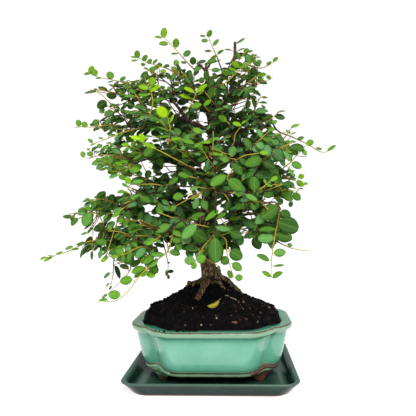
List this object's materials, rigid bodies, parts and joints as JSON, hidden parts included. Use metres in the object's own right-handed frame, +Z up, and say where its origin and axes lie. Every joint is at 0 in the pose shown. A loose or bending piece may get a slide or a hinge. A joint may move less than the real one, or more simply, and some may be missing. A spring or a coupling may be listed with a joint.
{
  "type": "wall cotoneaster bonsai",
  "caption": "Bonsai tree with a dome of small round leaves on long shoots, in a glazed lobed pot that stands on a drip saucer.",
  "frame": {"origin": "centre of the saucer's underside, on the surface it stands on", "axes": "+Z up the tree, +X to the right and -Y to the front as the picture shows it"},
  "size_m": [0.3871, 0.2715, 0.464],
  "materials": {
    "dark_glaze": "gloss dark green glaze over clay",
    "celadon_glaze": "gloss pale green glaze that pools darker in the corners",
    "drain_net": "matt black net",
    "peat": "moist dark crumbly potting soil",
    "bark": "rough grey-brown bark",
    "leaf": "soft waxy leaves on yellow-brown twigs",
    "yellow_leaf": "dry yellow leaf"
  },
  "bodies": {
    "root": {"saucer": "dark_glaze", "pot": "celadon_glaze", "drain_screen_left": "drain_net", "drain_screen_right": "drain_net", "soil": "peat", "trunk": "bark", "spray_01": "leaf", "spray_02": "leaf", "spray_03": "leaf", "spray_04": "leaf", "spray_05": "leaf", "spray_06": "leaf", "spray_07": "leaf", "spray_08": "leaf", "spray_09": "leaf", "spray_10": "leaf", "spray_11": "leaf", "spray_12": "leaf", "spray_13": "leaf", "spray_14": "leaf", "spray_15": "leaf", "spray_16": "leaf", "spray_17": "leaf", "spray_18": "leaf", "spray_19": "leaf", "spray_20": "leaf", "spray_21": "leaf", "spray_22": "leaf", "spray_23": "leaf", "spray_24": "leaf", "spray_25": "leaf", "spray_26": "leaf", "spray_27": "leaf", "spray_28": "leaf", "spray_29": "leaf", "spray_30": "leaf", "spray_31": "leaf", "spray_32": "leaf", "spray_33": "leaf", "spray_34": "leaf", "spray_35": "leaf", "spray_36": "leaf", "spray_37": "leaf", "spray_38": "leaf", "spray_39": "leaf", "spray_40": "leaf", "spray_41": "leaf", "spray_42": "leaf", "spray_43": "leaf", "spray_44": "leaf", "spray_45": "leaf", "spray_46": "leaf", "spray_47": "leaf", "spray_48": "leaf", "spray_49": "leaf", "spray_50": "leaf", "fallen_leaf": "yellow_leaf"}
  },
  "joints": []
}
